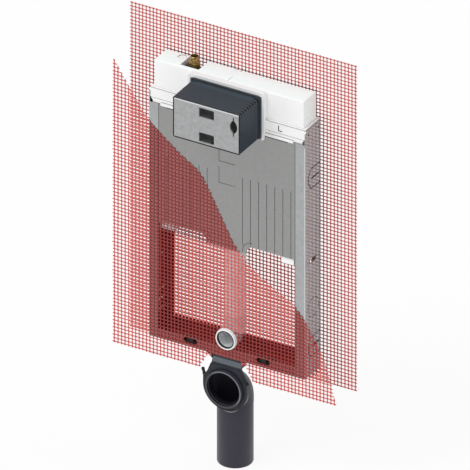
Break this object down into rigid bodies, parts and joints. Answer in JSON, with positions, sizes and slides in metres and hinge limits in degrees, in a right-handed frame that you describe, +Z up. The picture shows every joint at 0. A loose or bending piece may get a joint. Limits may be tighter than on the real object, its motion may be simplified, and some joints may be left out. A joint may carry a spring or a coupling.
{
  "type": "wall hung toilet frame",
  "caption": "Galvanised steel frame to be built into masonry for a wall-hung toilet, with an insulated concealed cistern, service box, flush and drain outlets, and plaster mesh front and rear.",
  "frame": {"origin": "on the outer face of the right side plate, at mid depth and at the height of the pan's fixing bolts; the plate is bricked into the wall and holds the part up", "axes": "+X to the right seen from the front, +Y back into the wall, +Z up; the middle of the frame is 220 mm to the left of the origin and its front plane 40 mm in front"},
  "size_m": [0.64, 0.1876, 1.178],
  "materials": {
    "galvanised_side": "galvanised sheet, smooth",
    "galvanised_panel": "galvanised sheet, fine spangle",
    "dark_steel": "dark, matt",
    "white_foam": "moulded bead foam",
    "zinc_screw": "zinc plated",
    "white_plastic": "satin",
    "dark_plastic": "satin blue-grey",
    "grey_cover": "satin light grey",
    "black_plastic": "satin",
    "drain_plastic": "satin dark grey",
    "brass": "machined",
    "rubber": "matt black",
    "red_mesh": "coated glass-fibre strands"
  },
  "bodies": {
    "root": {"left_side_channel": "galvanised_side", "right_side_channel": "galvanised_side", "front_panel": "galvanised_panel", "bottom_rail": "galvanised_side", "left_bolt_carrier": "dark_steel", "right_bolt_carrier": "dark_steel", "cistern_body": "white_foam", "left_cistern_foot": "white_foam", "right_cistern_foot": "white_foam", "insulation_band": "white_foam", "upper_insulation": "white_foam", "left_insulation_lip": "white_foam", "right_insulation_lip": "white_foam", "insulation_screws": "zinc_screw", "service_collar": "white_plastic", "service_box": "dark_plastic", "service_box_cover": "grey_cover", "stop_valve_body": "black_plastic", "union_nut": "brass", "valve_tail": "brass", "flush_bend": "white_plastic", "flush_pipe_sleeve": "white_foam", "flush_outlet_ring": "white_plastic", "flush_seal": "rubber", "drain_bend": "drain_plastic", "drain_seal": "rubber", "drain_holder": "black_plastic", "holder_lever": "black_plastic", "rear_mesh": "red_mesh", "front_mesh": "red_mesh"}
  },
  "joints": []
}
